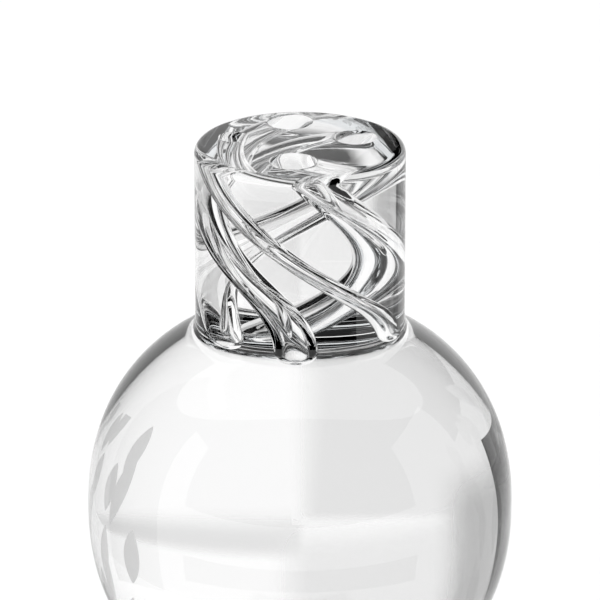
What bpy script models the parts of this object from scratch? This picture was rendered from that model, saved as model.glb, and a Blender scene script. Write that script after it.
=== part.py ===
"""Glass dip pen with a solid ball end and a twisted air-channel finial.

The pen stands along +Z with the tip of its nib at the origin.  Seven lampworked
pieces follow each other up the axis: nib, grip, grip collar, shaft, upper collar,
ball and finial.  Everything is in metres.
"""
import math

import bmesh
import bpy

MM = 0.001

# ---- driving dimensions -------------------------------------------------------
JOINT_GAP = 0.3 * MM           # clearance between two pieces that meet

PEN_LENGTH = 165.0 * MM        # nib tip to the flat top of the finial
BALL_RADIUS = 10.0 * MM
BALL_HALF_HEIGHT = 9.8 * MM    # the ball is slightly flatter than a sphere
BALL_SHOULDER = 2.2            # superellipse exponent, 2 would be an ellipse
BALL_FOOT_DEPTH = 9.33 * MM    # flat foot, below the ball's centre
BALL_SHOULDER_TOP = 8.8 * MM   # where the round outline ends, above the centre

FINIAL_RADIUS = 4.88 * MM
FINIAL_TOP = 17.93 * MM        # flat top, measured from the ball's centre
FINIAL_SEAT = 9.0 * MM         # where the finial meets the ball, same datum
FINIAL_EDGE = 0.15 * MM        # softened rim of the flat top

CHANNEL_DEPTH = 9.8 * MM       # blind end inside the ball, below the flat top
CHANNEL_TWIST = math.radians(23.3) / MM    # turn of a channel per metre of depth
EASE_LENGTH = 3.5 * MM         # the twist dies out over this length
CHANNELS = (   # angle on the flat top, offset, radius, share of the twist, ease start
    (math.radians(-98.0), 2.5 * MM, 0.95 * MM, 0.92, 9.0 * MM),
    (math.radians(18.0), 2.7 * MM, 0.84 * MM, 0.87, 7.0 * MM),
    (math.radians(98.0), 3.1 * MM, 0.9 * MM, 1.0, 5.5 * MM),
    (math.radians(163.0), 3.2 * MM, 0.6 * MM, 0.97, 7.0 * MM),
)

NIB_LENGTH = 24.0 * MM
NIB_RADIUS = 3.6 * MM
NIB_TIP_RADIUS = 0.35 * MM
NIB_FLUTES = 10
NIB_FLUTE_DEPTH = 0.17         # share of the local radius
NIB_TWIST = math.radians(150.0)
NIB_BELLY_SHARE = 0.8          # share of the length that the belly takes
NIB_BELLY_POWER = 0.85
NIB_NECK = 0.35 * MM           # how much slimmer the neck is than the belly
NIB_PLAIN_SHARE = 0.85         # the grooves run out above this share

GRIP_LENGTH = 38.0 * MM
GRIP_RADIUS = 4.9 * MM
GRIP_SLIM_RADIUS = 3.4 * MM    # at the nib
GRIP_WAIST = 0.55 * MM
GRIP_SWELL_POWER = 1.4
COLLAR_LENGTH = 3.2 * MM
COLLAR_RADIUS = 5.4 * MM
COLLAR_NECK_RADIUS = 3.8 * MM
SHAFT_RADIUS = 4.2 * MM
SHAFT_CHANNEL_RADIUS = 0.62 * MM
SHAFT_CHANNEL_OFFSET = 2.35 * MM
SHAFT_CHANNELS = 4
SHAFT_TURNS = 3.0

# ---- places along the axis ----------------------------------------------------
BALL_CENTRE = PEN_LENGTH - FINIAL_TOP
BALL_FOOT = BALL_CENTRE - BALL_FOOT_DEPTH
BALL_SEAT = BALL_CENTRE + FINIAL_SEAT
GRIP_START = NIB_LENGTH + JOINT_GAP
GRIP_END = GRIP_START + GRIP_LENGTH
GRIP_COLLAR_START = GRIP_END + JOINT_GAP
GRIP_COLLAR_END = GRIP_COLLAR_START + COLLAR_LENGTH
UPPER_COLLAR_END = BALL_FOOT - JOINT_GAP
UPPER_COLLAR_START = UPPER_COLLAR_END - COLLAR_LENGTH
SHAFT_START = GRIP_COLLAR_END + JOINT_GAP
SHAFT_END = UPPER_COLLAR_START - JOINT_GAP

# ---- mesh fineness ------------------------------------------------------------
ROUND_SIDES = 48
CHANNEL_SIDES = 14
CHANNEL_STEPS = 28
BLIND_END_STEPS = 4
SHAFT_CHANNEL_SIDES = 6
SHAFT_CHANNEL_STEPS = 48
BALL_STEPS = 26
COLLAR_STEPS = 8
GRIP_STEPS = 14
NIB_STEPS = 20
POINTS_PER_FLUTE = 4
CUT_MARGIN = 1.0 * MM          # how far a cutter sticks out of the piece it cuts
SHARP_ANGLE = math.radians(35.0)

GLASS_CLEAR = (0.93, 0.95, 0.96, 1.0)
GLASS_COOL = (0.86, 0.91, 0.95, 1.0)


def clear_scene():
    for item in list(bpy.data.objects):
        bpy.data.objects.remove(item)


def glass_material(name, colour):
    material = bpy.data.materials.new(name)
    material.use_nodes = True
    shader = material.node_tree.nodes["Principled BSDF"]
    shader.inputs["Base Color"].default_value = colour
    shader.inputs["Metallic"].default_value = 0.0
    shader.inputs["Roughness"].default_value = 0.02
    shader.inputs["IOR"].default_value = 1.5
    shader.inputs["Transmission Weight"].default_value = 1.0
    return material


def add_object(name, bm, material):
    """Turn a bmesh into a named, smooth-shaded object with outward faces."""
    bmesh.ops.recalc_face_normals(bm, faces=bm.faces)
    mesh = bpy.data.meshes.new(name)
    bm.to_mesh(mesh)
    bm.free()
    mesh.shade_smooth()
    mesh.set_sharp_from_angle(angle=SHARP_ANGLE)
    item = bpy.data.objects.new(name, mesh)
    bpy.context.scene.collection.objects.link(item)
    if material is not None:
        item.data.materials.append(material)
    return item


def add_ring(bm, points):
    return [bm.verts.new(point) for point in points]


def bridge(bm, lower, upper):
    """Join two rings of equal length with quads."""
    count = len(lower)
    for index in range(count):
        after = (index + 1) % count
        bm.faces.new((lower[index], lower[after], upper[after], upper[index]))


def loft(bm, rings):
    """Join a stack of rings and close both ends."""
    made = [add_ring(bm, ring) for ring in rings]
    for lower, upper in zip(made, made[1:]):
        bridge(bm, lower, upper)
    bm.faces.new(made[0])
    bm.faces.new(made[-1])


def circle(radius, height, sides=ROUND_SIDES):
    step = 2.0 * math.pi / sides
    return [
        (radius * math.cos(step * i), radius * math.sin(step * i), height)
        for i in range(sides)
    ]


def turned(name, outline, material):
    """A solid of revolution from (radius, height) points, bottom to top."""
    bm = bmesh.new()
    loft(bm, [circle(radius, height) for radius, height in outline])
    return add_object(name, bm, material)


def channel_rings(offset, radius, turn, start, end, steps, sides):
    """Level circles that climb a helix; turn gives the angle at a height."""
    rings = []
    for step in range(steps + 1):
        height = start + (end - start) * step / steps
        angle = turn(height)
        centre_x = offset * math.cos(angle)
        centre_y = offset * math.sin(angle)
        rings.append([
            (centre_x + x, centre_y + y, z)
            for x, y, z in circle(radius, height, sides)
        ])
    return rings


def add_cutter(name, ring_stacks):
    bm = bmesh.new()
    for rings in ring_stacks:
        loft(bm, rings)
    cutter = add_object(name, bm, None)
    cutter.hide_render = True
    cutter.display_type = 'WIRE'
    return cutter


def cut(item, cutter):
    modifier = item.modifiers.new("cut_" + cutter.name, 'BOOLEAN')
    modifier.operation = 'DIFFERENCE'
    modifier.solver = 'EXACT'
    modifier.object = cutter


def finial_turn(start_angle, share, ease_start):
    """Angle of a finial channel by height: even at first, dying out near the ball."""
    def turn(height):
        depth = PEN_LENGTH - height
        over = min(max(depth - ease_start, 0.0), EASE_LENGTH)
        eased = over - 0.5 * over ** 2 / EASE_LENGTH
        return start_angle + share * CHANNEL_TWIST * (min(depth, ease_start) + eased)
    return turn


def finial_channels(name, start, end, steps):
    """All four finial channels between two heights, as one cutter."""
    stacks = [
        channel_rings(offset, radius, finial_turn(angle, share, ease_start),
                      start, end, steps, CHANNEL_SIDES)
        for angle, offset, radius, share, ease_start in CHANNELS
    ]
    return add_cutter(name, stacks)


def make_finial(material):
    """Short flat-topped cane, pierced by four twisted air channels."""
    bottom = BALL_SEAT + JOINT_GAP
    outline = [
        (FINIAL_RADIUS, bottom),
        (FINIAL_RADIUS, PEN_LENGTH - FINIAL_EDGE),
        (FINIAL_RADIUS - 0.3 * FINIAL_EDGE, PEN_LENGTH - 0.3 * FINIAL_EDGE),
        (FINIAL_RADIUS - FINIAL_EDGE, PEN_LENGTH),
    ]
    finial = turned("twist_finial", outline, material)
    cutter = finial_channels("finial_channel_cutter", bottom - CUT_MARGIN,
                             PEN_LENGTH + CUT_MARGIN, CHANNEL_STEPS)
    cut(finial, cutter)


def ball_radius(height):
    """Radius of the ball at a height above or below its centre."""
    share = 1.0 - (abs(height) / BALL_HALF_HEIGHT) ** BALL_SHOULDER
    return BALL_RADIUS * share ** (1.0 / BALL_SHOULDER)


def make_ball(material):
    """Solid ball with a flat foot; the four channels end blind in its flat seat."""
    low = math.asin(-BALL_FOOT_DEPTH / BALL_HALF_HEIGHT)
    high = math.asin(BALL_SHOULDER_TOP / BALL_HALF_HEIGHT)
    outline = []
    for index in range(BALL_STEPS + 1):
        latitude = low + (high - low) * index / BALL_STEPS
        height = BALL_HALF_HEIGHT * math.sin(latitude)
        outline.append((ball_radius(height), BALL_CENTRE + height))
    outline.append((FINIAL_RADIUS, BALL_SEAT))
    ball = turned("glass_ball", outline, material)
    cutter = finial_channels("blind_end_cutter", PEN_LENGTH - CHANNEL_DEPTH,
                             BALL_SEAT + CUT_MARGIN, BLIND_END_STEPS)
    cut(ball, cutter)


def make_collar(name, bottom, material):
    """A pressed ring of glass with a rounded rim."""
    half = 0.5 * COLLAR_LENGTH
    outline = []
    for index in range(COLLAR_STEPS + 1):
        angle = math.pi * (index / COLLAR_STEPS - 0.5)
        swell = (COLLAR_RADIUS - COLLAR_NECK_RADIUS) * math.cos(angle)
        outline.append((COLLAR_NECK_RADIUS + swell, bottom + half + half * math.sin(angle)))
    turned(name, outline, material)


def shaft_turn(start_angle):
    """Angle of a shaft channel by height."""
    def turn(height):
        share = (SHAFT_END - height) / (SHAFT_END - SHAFT_START)
        return start_angle + 2.0 * math.pi * SHAFT_TURNS * share
    return turn


def make_shaft(material):
    """Straight cane with four fine air channels twisted along it."""
    outline = [(SHAFT_RADIUS, SHAFT_START), (SHAFT_RADIUS, SHAFT_END)]
    shaft = turned("cane_shaft", outline, material)
    stacks = []
    for index in range(SHAFT_CHANNELS):
        angle = 2.0 * math.pi * index / SHAFT_CHANNELS
        stacks.append(channel_rings(
            SHAFT_CHANNEL_OFFSET, SHAFT_CHANNEL_RADIUS, shaft_turn(angle),
            SHAFT_START - CUT_MARGIN, SHAFT_END + CUT_MARGIN,
            SHAFT_CHANNEL_STEPS, SHAFT_CHANNEL_SIDES))
    cut(shaft, add_cutter("shaft_channel_cutter", stacks))


def grip_radius(share):
    """Grip outline: slim at the nib, a shallow waist, full at the collar."""
    swell = math.sin(0.5 * math.pi * share) ** GRIP_SWELL_POWER
    waist = GRIP_WAIST * math.sin(math.pi * share) ** 2
    return GRIP_SLIM_RADIUS + (GRIP_RADIUS - GRIP_SLIM_RADIUS) * swell - waist


def make_grip(material):
    outline = []
    for index in range(GRIP_STEPS + 1):
        share = index / GRIP_STEPS
        outline.append((grip_radius(share), GRIP_START + GRIP_LENGTH * share))
    turned("grip", outline, material)


def share_past(share, start):
    """How far a share has gone from start towards one: zero before start."""
    return max(share - start, 0.0) / (1.0 - start)


def nib_radius(share):
    """Nib outline: a rounded point, a full belly and a short plain neck."""
    along_belly = min(share / NIB_BELLY_SHARE, 1.0)
    belly = math.sin(0.5 * math.pi * along_belly) ** NIB_BELLY_POWER
    neck = NIB_NECK * share_past(share, NIB_BELLY_SHARE)
    return NIB_TIP_RADIUS + (NIB_RADIUS - NIB_TIP_RADIUS) * belly - neck


def nib_ring(share):
    """One level of the nib: a circle with a groove for every flute."""
    count = NIB_FLUTES * POINTS_PER_FLUTE
    mean = nib_radius(share)
    depth = NIB_FLUTE_DEPTH * mean * (1.0 - share_past(share, NIB_PLAIN_SHARE))
    ring = []
    for index in range(count):
        angle = 2.0 * math.pi * index / count
        radius = mean - depth * (0.5 - 0.5 * math.cos(NIB_FLUTES * angle))
        turn = angle - NIB_TWIST * share
        ring.append((radius * math.cos(turn), radius * math.sin(turn),
                     NIB_LENGTH * share))
    return ring


def make_nib(material):
    """Fluted cone whose grooves wind down to a fine point."""
    bm = bmesh.new()
    loft(bm, [nib_ring(step / NIB_STEPS) for step in range(NIB_STEPS + 1)])
    add_object("fluted_nib", bm, material)


def main():
    clear_scene()
    clear_glass = glass_material("clear_glass", GLASS_CLEAR)
    cool_glass = glass_material("cool_glass", GLASS_COOL)
    make_nib(cool_glass)
    make_grip(clear_glass)
    make_collar("grip_collar", GRIP_COLLAR_START, cool_glass)
    make_shaft(clear_glass)
    make_collar("upper_collar", UPPER_COLLAR_START, cool_glass)
    make_ball(clear_glass)
    make_finial(clear_glass)


main()
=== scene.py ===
"""Looks of the glass dip pen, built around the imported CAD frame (metres, +Z up)."""
import math

import bmesh
import bpy
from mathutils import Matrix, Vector


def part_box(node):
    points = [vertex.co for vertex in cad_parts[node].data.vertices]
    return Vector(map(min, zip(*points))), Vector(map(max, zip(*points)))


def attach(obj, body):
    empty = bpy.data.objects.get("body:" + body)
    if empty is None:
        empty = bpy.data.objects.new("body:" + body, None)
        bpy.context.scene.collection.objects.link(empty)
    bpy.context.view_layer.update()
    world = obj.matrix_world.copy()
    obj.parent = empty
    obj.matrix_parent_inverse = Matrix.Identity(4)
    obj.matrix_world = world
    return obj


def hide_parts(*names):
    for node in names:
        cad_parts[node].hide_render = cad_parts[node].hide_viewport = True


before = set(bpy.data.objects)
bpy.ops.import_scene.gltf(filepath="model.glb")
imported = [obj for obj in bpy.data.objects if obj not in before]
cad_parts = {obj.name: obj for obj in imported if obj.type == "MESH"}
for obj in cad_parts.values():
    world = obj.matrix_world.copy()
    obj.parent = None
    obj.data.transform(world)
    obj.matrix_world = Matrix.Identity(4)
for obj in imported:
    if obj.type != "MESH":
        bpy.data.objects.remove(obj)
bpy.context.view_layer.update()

MM = 0.001

# ---- places, read from the frame ------------------------------------------------


def low_z(node):
    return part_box(node)[0][2]


def high_z(node):
    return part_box(node)[1][2]


# ---- finial and ball ------------------------------------------------------------
PEN_TOP = high_z("twist_finial")
FINIAL_TOP = 17.93 * MM                 # flat top above the ball's centre
FINIAL_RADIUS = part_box("twist_finial")[1][0]
FINIAL_RIM = 0.45 * MM                  # fire-polished rounding of the flat top
FINIAL_STEPS = 12
RIM_STEPS = 10
BALL_CENTRE = PEN_TOP - FINIAL_TOP
BALL_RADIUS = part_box("glass_ball")[1][0]
BALL_HALF_HEIGHT = 9.8 * MM
BALL_SHOULDER = 2.2                     # superellipse exponent
BALL_FOOT = -9.2 * MM                   # end of the round outline below, from the centre
BALL_FOOT_SHARE = 0.7                   # radius of the flat foot, of the collar's
BALL_SEAT = 8.55 * MM                   # end of the round outline above
BALL_STEPS = 90
BLEND_CORNER = 0.25 * MM                # height of the blend's corner above the seat
BLEND_HEIGHT = 1.1 * MM                 # height over which ball and finial blend
BLEND_STEPS = 10

# ---- the four channels of the finial --------------------------------------------
CHANNEL_FLARE = 0.2                     # extra share of the radius at the mouth
FLARE_DEPTH = 0.5 * MM
CHANNEL_TWIST = math.radians(23.3) / MM
CHANNEL_DEPTH = 9.8 * MM                # closed round end, just inside the ball
CHANNEL_END = 0.9 * MM                  # length of the rounding there
CHANNEL_ABOVE = 0.6 * MM                # how far the cutter sticks out of the top
EASE_LENGTH = 3.5 * MM                  # the twist dies out over this length
CHANNEL_SIDES = 56
CHANNEL_STEPS = 110
CHANNELS = (            # angle at the top, offset, radius, share of the twist, ease start
    (math.radians(-98.0), 2.5 * MM, 0.95 * MM, 0.92, 9.0 * MM),
    (math.radians(18.0), 2.7 * MM, 0.84 * MM, 0.87, 7.0 * MM),
    (math.radians(98.0), 3.1 * MM, 0.9 * MM, 1.0, 5.5 * MM),
    (math.radians(163.0), 3.2 * MM, 0.6 * MM, 0.97, 7.0 * MM),
)

# ---- joints, shaft and collars --------------------------------------------------
JOINT_REACH = 0.14 * MM                 # how far a piece reaches past its CAD end
FOOT_LIFT = 0.02 * MM                   # the ball starts this far above the collar's CAD
                                        # top, so the ring's end overlaps its foot
SHAFT_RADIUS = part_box("cane_shaft")[1][0]
SHAFT_EDGE = 0.3 * MM
SHAFT_SIDES = 96
SHAFT_STEPS = 40
EDGE_STEPS = 6
SHAFT_THREADS = 4                       # fine air threads in the shaft
THREAD_RADIUS = 0.62 * MM
THREAD_OFFSET = 2.35 * MM
THREAD_TURNS = 3.0
THREAD_TAPER = 1.2 * MM                 # length of a thread's rounded end
THREAD_INSET = 1.0 * MM                 # solid glass beyond a thread's end
THREAD_SIDES = 20
THREAD_STEPS = 360
COLLAR_WAIST = SHAFT_RADIUS - 0.1 * MM
COLLAR_POWER = 0.75                     # below one gives a fuller bead
COLLAR_STEPS = 40

# ---- grip and nib ---------------------------------------------------------------
GRIP_SLIM_SHARE = 0.955                 # radius of the slim end, of the nib's
GRIP_WAIST = 0.55 * MM
GRIP_SWELL_POWER = 1.4
GRIP_STEPS = 90
NIB_FLUTES = 10
NIB_RADIUS = 3.6 * MM
NIB_TIP_RADIUS = 0.35 * MM
NIB_FLUTE_DEPTH = 0.2                   # share of the local radius
NIB_FLUTE_POWER = 1.5                   # above one gives narrower grooves
NIB_TWIST = math.radians(150.0)
NIB_BELLY_SHARE = 0.8                   # share of the length that the belly takes
NIB_BELLY_POWER = 0.85
NIB_NECK = 0.35 * MM                    # how much slimmer the neck is than the belly
NIB_PLAIN_SHARE = 0.85                  # the grooves run out above this share
NIB_POINTS_PER_FLUTE = 16
NIB_STEPS = 150

# ---- glass ----------------------------------------------------------------------
CLEAR_TINT = (1.0, 1.0, 1.0, 1.0)
COOL_TINT = (0.96, 0.985, 1.0, 1.0)
GLASS_IOR = 1.5
RIPPLE_SCALE = 140.0
RIPPLE_STRENGTH = 0.02
RIPPLE_HEIGHT = 0.0002

# ---- studio: metres, and degrees from +Y towards +X -----------------------------
TENT_BRIGHTNESS = 1.1
FLOOR_RADIUS = 3.0
FLOOR_SIDES = 64
FLOOR_GREY = 0.95
FLOOR_ROUGHNESS = 0.9
BLACK = 0.008
ARC_CARDS = (           # name, start, end, distance, low, high, grey, soft along, soft up
    ("front_card", 116.0, 244.0, 0.32, 0.17, 0.95, BLACK, 0.0, 0.0),
    ("low_front_card", 116.0, 244.0, 0.32, 0.0, 0.05, BLACK, 0.0, 0.0),
    ("left_card", -100.0, -57.0, 0.25, 0.0, 0.45, BLACK, 0.0, 0.0),
    ("back_card", -75.0, 75.0, 0.6, 0.3, 0.95, BLACK, 0.0, 0.0),
    ("left_grey_card", -100.0, -26.0, 0.26, 0.0, 0.6, 0.45, 0.2, 0.12),
    ("left_pale_card", -100.0, 6.0, 0.28, 0.03, 0.6, 0.8, 0.08, 0.08),
)
LEVEL_CARDS = (         # name, left, right, front, back, height, grey, soft along, soft up
    ("top_card", -1.0, 1.0, -1.0, 1.0, 0.95, BLACK, 0.0, 0.0),
    ("near_left_card", -0.5, 0.01, 0.02, 0.4, 0.001, 0.76, 0.06, 0.12),
    ("far_right_card", -0.01, 0.8, 0.33, 0.62, 0.001, 0.72, 0.02, 0.45),
    ("under_card", -0.14, 0.14, -0.3, -0.04, 0.001, 0.03, 0.1, 0.1),
)
ARC_CARD_STEPS = 40
LEAF_GREY = 0.7
LEAF_REACH = 0.2                        # distance of the leaf cards from the pen
LEAF_HALF_WIDTH = 3.4                   # degrees
LEAF_ROUNDNESS = 0.8                    # power of the sine that shapes a leaf
LEAF_TIP = 0.05                         # half width of a leaf's blunt tip
LEAF_STEPS = 16
LEAF_ROWS = 4
LEAVES_PER_ROW = 4
LEAF_FIRST_ANGLE = 43.0
LEAF_ANGLE_STEP = 13.0
LEAF_FIRST_HEIGHT = 0.02
LEAF_HEIGHT_STEP = 0.055
LEAF_TALL = 0.06
LEAF_LEAN = 6.0                         # degrees from foot to tip
LEAF_SWAY = 4.0                         # degrees by which places and leans vary
LEAF_LIFT = 0.012                       # metres by which heights vary
LEAF_STRETCH = 0.014                    # metres by which lengths vary
SWAY_PHASES = (2.4, 1.7)                # radians per row and per place
LIFT_PHASES = (1.9, 2.8)

# ---- camera ---------------------------------------------------------------------
CAMERA_DISTANCE = 252.0 * MM
CAMERA_ELEVATION = math.radians(20.9)
CAMERA_HALF_FRAME = 14.17 * MM          # half the picture's width at the ball
CAMERA_LOOK_ABOVE = 9.54 * MM           # how far above the ball's centre it aims
CAMERA_SENSOR = 36.0

# ---- mesh fineness --------------------------------------------------------------
ROUND_SIDES = 160
SLIM_SIDES = 128                        # for the slimmer turned pieces
SHARP_ANGLE = math.radians(35.0)


# ---- mesh helpers ---------------------------------------------------------------


def link_piece(name, bm, material=None):
    """Turn a bmesh into an object whose faces keep their directions."""
    mesh = bpy.data.meshes.new(name)
    bm.to_mesh(mesh)
    bm.free()
    piece = bpy.data.objects.new(name, mesh)
    bpy.context.scene.collection.objects.link(piece)
    if material is not None:
        mesh.materials.append(material)
    return piece


def add_piece(name, bm, material=None):
    """Turn a bmesh into an object whose faces all look outwards."""
    bmesh.ops.recalc_face_normals(bm, faces=bm.faces)
    return link_piece(name, bm, material)


def circle(radius, height, sides=ROUND_SIDES):
    step = 2.0 * math.pi / sides
    return [
        (radius * math.cos(step * i), radius * math.sin(step * i), height)
        for i in range(sides)
    ]


def loft(bm, rings):
    """Join a stack of rings and close both ends."""
    made = [[bm.verts.new(point) for point in ring] for ring in rings]
    for lower, upper in zip(made, made[1:]):
        count = len(lower)
        for index in range(count):
            after = (index + 1) % count
            bm.faces.new((lower[index], lower[after], upper[after], upper[index]))
    bm.faces.new(made[0])
    bm.faces.new(made[-1])


def turned(name, outline, material, sides=ROUND_SIDES):
    """A solid of revolution from (radius, height) points, bottom to top."""
    bm = bmesh.new()
    loft(bm, [circle(radius, height, sides) for radius, height in outline])
    return add_piece(name, bm, material)


def arc(centre, radius, start, end, steps):
    """Points of a circular arc in the (radius, height) plane."""
    points = []
    for index in range(steps + 1):
        angle = start + (end - start) * index / steps
        points.append((centre[0] + radius * math.cos(angle),
                       centre[1] + radius * math.sin(angle)))
    return points


def subtract(piece, cutter):
    """Cut the cutter's shape out of a piece and remove the cutter."""
    modifier = piece.modifiers.new("cut", 'BOOLEAN')
    modifier.operation = 'DIFFERENCE'
    modifier.solver = 'EXACT'
    modifier.object = cutter
    graph = bpy.context.evaluated_depsgraph_get()
    piece.data = bpy.data.meshes.new_from_object(piece.evaluated_get(graph))
    piece.modifiers.clear()
    bpy.data.objects.remove(cutter)


def polish(piece):
    piece.data.shade_smooth()
    piece.data.set_sharp_from_angle(angle=SHARP_ANGLE)


# ---- blown end: finial and ball in one seamless piece of glass -------------------


def ball_radius(height):
    """Radius of the ball at a height above or below its centre."""
    share = 1.0 - (abs(height) / BALL_HALF_HEIGHT) ** BALL_SHOULDER
    return BALL_RADIUS * max(share, 0.0) ** (1.0 / BALL_SHOULDER)


def ball_outline():
    """Round outline of the ball from its foot to its seat."""
    low = math.asin(BALL_FOOT / BALL_HALF_HEIGHT)
    high = math.asin(BALL_SEAT / BALL_HALF_HEIGHT)
    points = []
    for index in range(BALL_STEPS + 1):
        height = BALL_HALF_HEIGHT * math.sin(low + (high - low) * index / BALL_STEPS)
        points.append((ball_radius(height), BALL_CENTRE + height))
    return points


def blend_corner(start, corner, end, steps):
    """Quadratic curve that rounds the corner between two outline points."""
    points = []
    for index in range(1, steps):
        t = index / steps
        near = (1 - t) ** 2
        middle = 2 * t * (1 - t)
        far = t ** 2
        points.append(tuple(
            near * start[axis] + middle * corner[axis] + far * end[axis]
            for axis in (0, 1)))
    return points


def blown_end_outline():
    """Outline of the ball, the blend, the finial and its rounded rim."""
    foot_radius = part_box("upper_collar")[1][0] * BALL_FOOT_SHARE
    outline = [(foot_radius, high_z("upper_collar") + FOOT_LIFT)]
    outline += ball_outline()
    start = outline[-1]
    corner = (FINIAL_RADIUS, start[1] + BLEND_CORNER)
    end = (FINIAL_RADIUS, start[1] + BLEND_HEIGHT)
    outline += blend_corner(start, corner, end, BLEND_STEPS)
    outline.append(end)
    rim = (FINIAL_RADIUS - FINIAL_RIM, PEN_TOP - FINIAL_RIM)
    for step in range(1, FINIAL_STEPS):
        outline.append((FINIAL_RADIUS, end[1] + (rim[1] - end[1]) * step / FINIAL_STEPS))
    outline += arc(rim, FINIAL_RIM, 0.0, 0.5 * math.pi, RIM_STEPS)
    return outline


def channel_turn(depth, ease_start):
    """Turn of a channel at a depth: even at first, dying out near the ball."""
    over = min(max(depth - ease_start, 0.0), EASE_LENGTH)
    eased = over - 0.5 * over ** 2 / EASE_LENGTH
    return CHANNEL_TWIST * (min(depth, ease_start) + eased)


def finial_channel(angle, offset, radius, share, ease_start):
    """One channel as a solid, from above the flat top down to its round end."""
    rings = []
    for step in range(CHANNEL_STEPS):
        depth = -CHANNEL_ABOVE + (CHANNEL_DEPTH + CHANNEL_ABOVE) * step / CHANNEL_STEPS
        inside = max(depth, 0.0)
        turn = angle + share * channel_turn(inside, ease_start)
        flared = radius * (1.0 + CHANNEL_FLARE * math.exp(-inside / FLARE_DEPTH))
        left = min((CHANNEL_DEPTH - depth) / CHANNEL_END, 1.0)
        rounded = flared * math.sqrt(1.0 - (1.0 - left) ** 2)
        centre = (offset * math.cos(turn), offset * math.sin(turn))
        rings.append([
            (centre[0] + x, centre[1] + y, z)
            for x, y, z in circle(rounded, PEN_TOP - depth, CHANNEL_SIDES)
        ])
    bm = bmesh.new()
    loft(bm, rings)
    return add_piece("channel", bm)


def make_blown_end(material):
    """Finial and ball, pierced by the four channels."""
    piece = turned("blown_end", blown_end_outline(), material)
    for channel in CHANNELS:
        subtract(piece, finial_channel(*channel))
    polish(piece)
    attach(piece, "root")
    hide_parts("twist_finial", "glass_ball")


# ---- the pieces below the ball ---------------------------------------------------


def finish_piece(piece, node):
    """Smooth a piece that stands for one CAD node."""
    polish(piece)
    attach(piece, "root")
    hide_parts(node)


def span(node, share):
    """Height at a share of a node's length, its joint gaps nearly closed."""
    low = low_z(node) - JOINT_REACH
    high = high_z(node) + JOINT_REACH
    return low + (high - low) * share


def thread_rings(angle, low, high):
    """Circles of a twisted thread that is rounded off at both ends."""
    rings = []
    for step in range(1, THREAD_STEPS):
        height = low + (high - low) * step / THREAD_STEPS
        turn = angle + 2.0 * math.pi * THREAD_TURNS * (high - height) / (high - low)
        end = min((high - height) / THREAD_TAPER, (height - low) / THREAD_TAPER, 1.0)
        rounded = THREAD_RADIUS * math.sqrt(1.0 - (1.0 - end) ** 2)
        centre = (THREAD_OFFSET * math.cos(turn), THREAD_OFFSET * math.sin(turn))
        rings.append([
            (centre[0] + x, centre[1] + y, z)
            for x, y, z in circle(rounded, height, THREAD_SIDES)
        ])
    return rings


def add_air_thread(bm, angle, low, high):
    """A sealed twisted thread of air: a tube whose faces look inwards."""
    tube = bmesh.new()
    loft(tube, thread_rings(angle, low, high))
    bmesh.ops.recalc_face_normals(tube, faces=tube.faces)
    bmesh.ops.reverse_faces(tube, faces=tube.faces)
    copied = bpy.data.meshes.new("thread")
    tube.to_mesh(copied)
    tube.free()
    bm.from_mesh(copied)
    bpy.data.meshes.remove(copied)


def shaft_outline(low, high):
    """Straight cane with both edges rounded."""
    inner = SHAFT_RADIUS - SHAFT_EDGE
    straight = high - low - 2 * SHAFT_EDGE
    outline = arc((inner, low + SHAFT_EDGE), SHAFT_EDGE, -0.5 * math.pi, 0.0, EDGE_STEPS)
    for step in range(1, SHAFT_STEPS):
        outline.append((SHAFT_RADIUS, low + SHAFT_EDGE + straight * step / SHAFT_STEPS))
    outline += arc((inner, high - SHAFT_EDGE), SHAFT_EDGE, 0.0, 0.5 * math.pi, EDGE_STEPS)
    return outline


def make_shaft(material):
    """Straight cane with four fine threads of air twisted along it."""
    low = span("cane_shaft", 0.0)
    high = span("cane_shaft", 1.0)
    bm = bmesh.new()
    loft(bm, [circle(radius, height, SHAFT_SIDES)
              for radius, height in shaft_outline(low, high)])
    bmesh.ops.recalc_face_normals(bm, faces=bm.faces)
    for index in range(SHAFT_THREADS):
        angle = 2.0 * math.pi * index / SHAFT_THREADS
        add_air_thread(bm, angle, low + THREAD_INSET, high - THREAD_INSET)
    piece = link_piece("shaft", bm, material)
    finish_piece(piece, "cane_shaft")


def make_collar(name, node, material):
    """Ring of glass: a full round bead that narrows at both ends."""
    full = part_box(node)[1][0]
    outline = []
    for index in range(COLLAR_STEPS + 1):
        share = index / COLLAR_STEPS
        across = math.sin(math.pi * share) ** COLLAR_POWER
        outline.append((COLLAR_WAIST + (full - COLLAR_WAIST) * across, span(node, share)))
    piece = turned(name, outline, material, SLIM_SIDES)
    finish_piece(piece, node)


def make_grip(material):
    """Holding section: slim at the nib, a shallow waist, full at the collar."""
    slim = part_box("fluted_nib")[1][0] * GRIP_SLIM_SHARE
    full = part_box("grip")[1][0]
    outline = []
    for index in range(GRIP_STEPS + 1):
        share = index / GRIP_STEPS
        swell = math.sin(0.5 * math.pi * share) ** GRIP_SWELL_POWER
        waist = GRIP_WAIST * math.sin(math.pi * share) ** 2
        outline.append((slim + (full - slim) * swell - waist, span("grip", share)))
    piece = turned("grip_section", outline, material, SLIM_SIDES)
    finish_piece(piece, "grip")


def share_past(share, start):
    """How far a share has gone from start towards one: zero before start."""
    return max(share - start, 0.0) / (1.0 - start)


def nib_radius(share):
    """Nib outline: a rounded point, a full belly and a short plain neck."""
    along_belly = min(share / NIB_BELLY_SHARE, 1.0)
    belly = math.sin(0.5 * math.pi * along_belly) ** NIB_BELLY_POWER
    neck = NIB_NECK * share_past(share, NIB_BELLY_SHARE)
    return NIB_TIP_RADIUS + (NIB_RADIUS - NIB_TIP_RADIUS) * belly - neck


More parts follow.
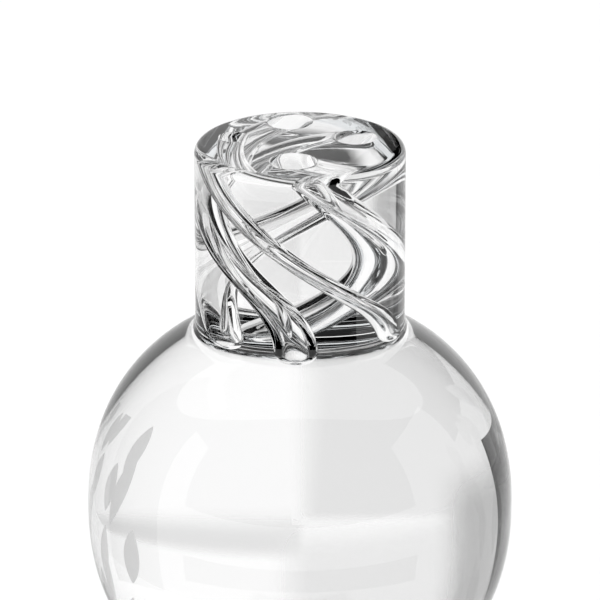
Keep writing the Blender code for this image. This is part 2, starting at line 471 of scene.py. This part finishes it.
def nib_ring(share, height):
    """One level of the nib: a circle with a groove for every flute."""
    sides = NIB_FLUTES * NIB_POINTS_PER_FLUTE
    mean = nib_radius(share)
    depth = NIB_FLUTE_DEPTH * mean * (1.0 - share_past(share, NIB_PLAIN_SHARE))
    ring = []
    for index in range(sides):
        angle = 2.0 * math.pi * index / sides
        groove = (0.5 - 0.5 * math.cos(NIB_FLUTES * angle)) ** NIB_FLUTE_POWER
        radius = mean - depth * groove
        turn = angle - NIB_TWIST * share
        ring.append((radius * math.cos(turn), radius * math.sin(turn), height))
    return ring


def make_nib(material):
    """Fluted cone whose ink grooves wind down to a fine point."""
    low = low_z("fluted_nib")
    length = high_z("fluted_nib") + JOINT_REACH - low
    rings = []
    for step in range(NIB_STEPS + 1):
        share = step / NIB_STEPS
        rings.append(nib_ring(share, low + length * share))
    bm = bmesh.new()
    loft(bm, rings)
    piece = add_piece("nib", bm, material)
    finish_piece(piece, "fluted_nib")


# ---- materials ------------------------------------------------------------------


def glass_material(name, tint):
    """Clear glass: its surface waves faintly, as fire-polished glass does."""
    material = bpy.data.materials.new(name)
    material.use_nodes = True
    nodes = material.node_tree.nodes
    links = material.node_tree.links
    shader = nodes["Principled BSDF"]
    shader.inputs["Base Color"].default_value = tint
    shader.inputs["Roughness"].default_value = 0.0
    shader.inputs["IOR"].default_value = GLASS_IOR
    shader.inputs["Transmission Weight"].default_value = 1.0
    place = nodes.new("ShaderNodeTexCoord")
    wave = nodes.new("ShaderNodeTexNoise")
    wave.inputs["Scale"].default_value = RIPPLE_SCALE
    wave.inputs["Detail"].default_value = 1.0
    bump = nodes.new("ShaderNodeBump")
    bump.inputs["Strength"].default_value = RIPPLE_STRENGTH
    bump.inputs["Distance"].default_value = RIPPLE_HEIGHT
    links.new(place.outputs["Object"], wave.inputs["Vector"])
    links.new(wave.outputs["Fac"], bump.inputs["Height"])
    links.new(bump.outputs["Normal"], shader.inputs["Normal"])
    return material


# ---- studio ---------------------------------------------------------------------


def make_floor():
    """Plain pale floor at the nib's tip."""
    bm = bmesh.new()
    bmesh.ops.create_circle(bm, cap_ends=True, radius=FLOOR_RADIUS, segments=FLOOR_SIDES)
    floor = add_piece("floor", bm)
    material = bpy.data.materials.new("pale_floor")
    material.use_nodes = True
    shader = material.node_tree.nodes["Principled BSDF"]
    shader.inputs["Base Color"].default_value = (FLOOR_GREY, FLOOR_GREY, FLOOR_GREY, 1.0)
    shader.inputs["Roughness"].default_value = FLOOR_ROUGHNESS
    floor.data.materials.append(material)


def make_world():
    """Even white light tent all round."""
    world = bpy.data.worlds.new("studio")
    bpy.context.scene.world = world
    world.use_nodes = True
    background = world.node_tree.nodes["Background"]
    background.inputs["Color"].default_value = (1.0, 1.0, 1.0, 1.0)
    background.inputs["Strength"].default_value = TENT_BRIGHTNESS


def soft_window(nodes, links, along, softness):
    """One inside a card and zero at both of its ends along one UV axis."""
    fold = nodes.new("ShaderNodeMath")
    fold.operation = 'PINGPONG'
    fold.inputs[1].default_value = 0.5
    fade = nodes.new("ShaderNodeMapRange")
    fade.interpolation_type = 'SMOOTHSTEP'
    fade.inputs["From Max"].default_value = softness
    links.new(along, fold.inputs[0])
    links.new(fold.outputs[0], fade.inputs["Value"])
    return fade.outputs["Result"]


def card_material(name, grey, soft_along, soft_up):
    """Matt grey card that fades out over a share of its size at its edges.

    Both shares are zero for a card with hard edges."""
    material = bpy.data.materials.new(name)
    material.use_nodes = True
    nodes = material.node_tree.nodes
    links = material.node_tree.links
    shader = nodes["Principled BSDF"]
    shader.inputs["Base Color"].default_value = (grey, grey, grey, 1.0)
    shader.inputs["Roughness"].default_value = 1.0
    shader.inputs["Specular IOR Level"].default_value = 0.0
    if soft_along > 0.0:
        place = nodes.new("ShaderNodeUVMap")
        split = nodes.new("ShaderNodeSeparateXYZ")
        both = nodes.new("ShaderNodeMath")
        both.operation = 'MULTIPLY'
        links.new(place.outputs["UV"], split.inputs[0])
        links.new(soft_window(nodes, links, split.outputs["X"], soft_along), both.inputs[0])
        links.new(soft_window(nodes, links, split.outputs["Y"], soft_up), both.inputs[1])
        links.new(both.outputs[0], shader.inputs["Alpha"])
    return material


def studio_card(name, columns, material):
    """A card that only the glass sees: it shades and hides nothing else.

    Columns are (lower point, upper point) pairs from one end to the other."""
    bm = bmesh.new()
    layer = bm.loops.layers.uv.new("place")
    made = [(bm.verts.new(low), bm.verts.new(high)) for low, high in columns]
    steps = len(made) - 1
    for step in range(steps):
        left = made[step]
        right = made[step + 1]
        face = bm.faces.new((left[0], right[0], right[1], left[1]))
        ends = ((step, 0.0), (step + 1, 0.0), (step + 1, 1.0), (step, 1.0))
        for loop, (along, up) in zip(face.loops, ends):
            loop[layer].uv = (along / steps, up)
    card = add_piece(name, bm, material)
    card.visible_camera = False
    card.visible_diffuse = False
    card.visible_shadow = False


def around(angle, radius, height):
    """Point at an angle in degrees from +Y towards +X."""
    turn = math.radians(angle)
    return (radius * math.sin(turn), radius * math.cos(turn), height)


def arc_card(name, start, end, radius, low, high, material):
    """Upright curved card between two angles."""
    columns = []
    for step in range(ARC_CARD_STEPS + 1):
        angle = start + (end - start) * step / ARC_CARD_STEPS
        columns.append((around(angle, radius, low), around(angle, radius, high)))
    studio_card(name, columns, material)


def level_card(name, left, right, front, back, height, material):
    """Card that lies level."""
    studio_card(name, [((left, front, height), (left, back, height)),
                       ((right, front, height), (right, back, height))], material)


def leaf_card(name, angle, middle, tall, lean, material):
    """Slim upright leaf: a pointed oval that leans over by some degrees."""
    columns = []
    for step in range(LEAF_STEPS + 1):
        share = step / LEAF_STEPS
        half = LEAF_HALF_WIDTH * math.sin(math.pi * share) ** LEAF_ROUNDNESS + LEAF_TIP
        height = middle + tall * (share - 0.5)
        centre = angle + lean * (share - 0.5)
        columns.append((around(centre - half, LEAF_REACH, height),
                        around(centre + half, LEAF_REACH, height)))
    studio_card(name, columns, material)


def make_leaves():
    """Rows of pale grey leaves on the right, seen in the ball's left edge.

    Sines of the row and the place make them uneven."""
    leaf = card_material("leaf_card", LEAF_GREY, 0.0, 0.0)
    for row in range(LEAF_ROWS):
        for place in range(LEAVES_PER_ROW):
            wave = math.sin(SWAY_PHASES[0] * row + SWAY_PHASES[1] * place)
            lift = math.cos(LIFT_PHASES[0] * row + LIFT_PHASES[1] * place)
            angle = LEAF_FIRST_ANGLE + LEAF_ANGLE_STEP * place + LEAF_SWAY * wave
            middle = LEAF_FIRST_HEIGHT + LEAF_HEIGHT_STEP * row + LEAF_LIFT * lift
            tall = LEAF_TALL + LEAF_STRETCH * wave
            lean = LEAF_LEAN + LEAF_SWAY * wave
            leaf_card("leaf_%d_%d" % (row, place), angle, middle, tall, lean, leaf)


def make_cards():
    """Dark and grey cards round the pen, which give the clear glass its tones."""
    for name, start, end, radius, low, high, *look in ARC_CARDS:
        arc_card(name, start, end, radius, low, high, card_material(name, *look))
    for name, left, right, front, back, height, *look in LEVEL_CARDS:
        level_card(name, left, right, front, back, height, card_material(name, *look))
    make_leaves()


def make_camera():
    """Long lens, a little above the ball, framed on the pen's end."""
    back = Vector((0.0, -math.cos(CAMERA_ELEVATION), math.sin(CAMERA_ELEVATION)))
    up = Vector((0.0, math.sin(CAMERA_ELEVATION), math.cos(CAMERA_ELEVATION)))
    data = bpy.data.cameras.new("camera")
    data.sensor_width = CAMERA_SENSOR
    data.lens = 0.5 * CAMERA_SENSOR * CAMERA_DISTANCE / CAMERA_HALF_FRAME
    data.clip_start = 0.01
    data.clip_end = 50.0
    camera = bpy.data.objects.new("camera", data)
    bpy.context.scene.collection.objects.link(camera)
    ball = Vector((0.0, 0.0, BALL_CENTRE))
    camera.location = ball + up * CAMERA_LOOK_ABOVE + back * CAMERA_DISTANCE
    camera.rotation_mode = 'QUATERNION'
    camera.rotation_quaternion = (-back).to_track_quat('-Z', 'Y')
    bpy.context.scene.camera = camera


bpy.context.scene.view_settings.view_transform = 'Standard'
make_camera()
make_floor()
make_world()
make_cards()
clear_glass = glass_material("clear_glass_fine", CLEAR_TINT)
cool_glass = glass_material("cool_glass_fine", COOL_TINT)
make_blown_end(clear_glass)
make_collar("upper_ring", "upper_collar", cool_glass)
make_shaft(clear_glass)
make_collar("grip_ring", "grip_collar", cool_glass)
make_grip(clear_glass)
make_nib(cool_glass)
